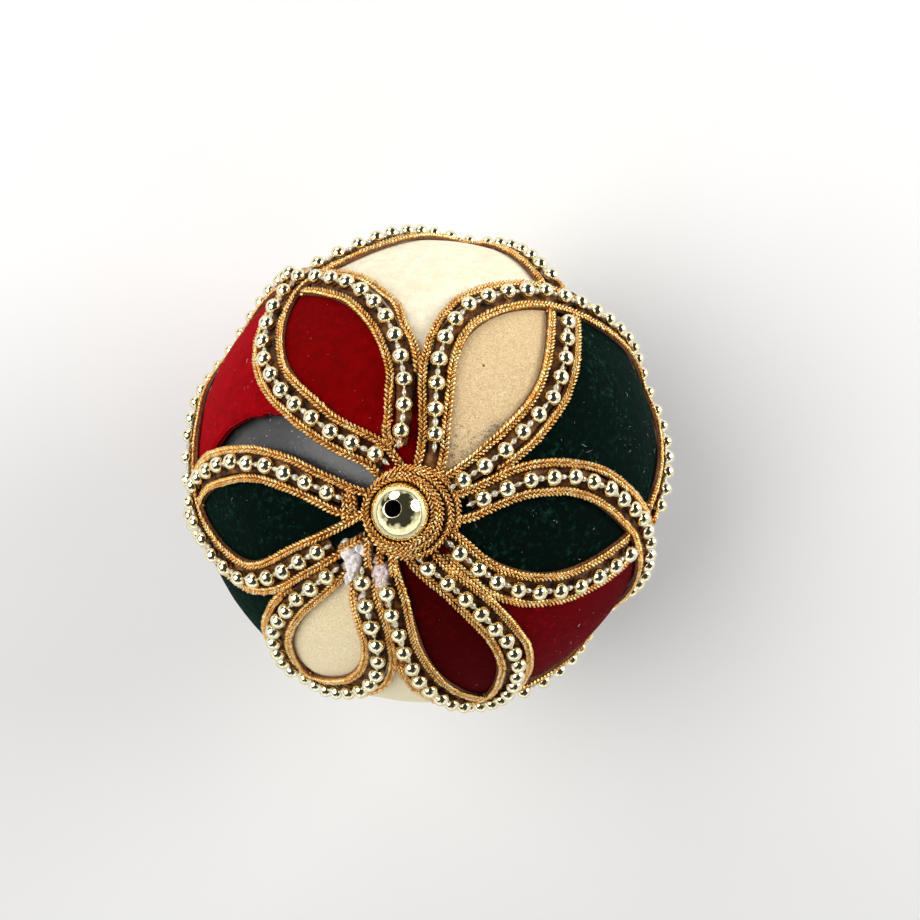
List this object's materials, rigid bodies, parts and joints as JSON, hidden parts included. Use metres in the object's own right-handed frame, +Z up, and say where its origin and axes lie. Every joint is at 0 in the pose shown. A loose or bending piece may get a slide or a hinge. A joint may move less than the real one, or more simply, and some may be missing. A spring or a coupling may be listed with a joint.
{
  "type": "velvet ball ornament",
  "caption": "Velvet-covered ornament ball with petal loops of gold braid and bead string around a centre bead, standing on a small flat spot.",
  "frame": {"origin": "centre of the small flat spot under the ball, on the surface that it rests on", "axes": "+Z up through the centre bead at the middle of the petals; +Y towards the red petal that points to the top of the flower as it is pictured"},
  "size_m": [0.0821, 0.0839, 0.0844],
  "materials": {
    "core": "dark coated foam, slightly shiny",
    "velvet_red": "velvet",
    "velvet_cream": "velvet",
    "velvet_green": "velvet",
    "braid": "metallic gold thread, plaited",
    "bead_string": "mirror, pale gold",
    "centre_bead": "mirror, pale gold"
  },
  "bodies": {
    "root": {"core_ball": "core", "velvet_1_red": "velvet_red", "velvet_2_cream": "velvet_cream", "velvet_3_green": "velvet_green", "velvet_4_red": "velvet_red", "velvet_5_cream": "velvet_cream", "velvet_6_green": "velvet_green", "petal1_ccw_braid_in": "braid", "petal1_ccw_beads": "bead_string", "petal1_ccw_braid_out": "braid", "petal1_cw_braid_in": "braid", "petal1_cw_beads": "bead_string", "petal1_cw_braid_out": "braid", "petal2_ccw_braid_in": "braid", "petal2_ccw_beads": "bead_string", "petal2_ccw_braid_out": "braid", "petal2_cw_braid_in": "braid", "petal2_cw_beads": "bead_string", "petal2_cw_braid_out": "braid", "petal3_ccw_braid_in": "braid", "petal3_ccw_beads": "bead_string", "petal3_ccw_braid_out": "braid", "petal3_cw_braid_in": "braid", "petal3_cw_beads": "bead_string", "petal3_cw_braid_out": "braid", "petal4_ccw_braid_in": "braid", "petal4_ccw_beads": "bead_string", "petal4_ccw_braid_out": "braid", "petal4_cw_braid_in": "braid", "petal4_cw_beads": "bead_string", "petal4_cw_braid_out": "braid", "petal5_ccw_braid_in": "braid", "petal5_ccw_beads": "bead_string", "petal5_ccw_braid_out": "braid", "petal5_cw_braid_in": "braid", "petal5_cw_beads": "bead_string", "petal5_cw_braid_out": "braid", "petal6_ccw_braid_in": "braid", "petal6_ccw_beads": "bead_string", "petal6_ccw_braid_out": "braid", "petal6_cw_braid_in": "braid", "petal6_cw_beads": "bead_string", "petal6_cw_braid_out": "braid", "centre_coil": "braid", "centre_bead": "centre_bead"}
  },
  "joints": []
}
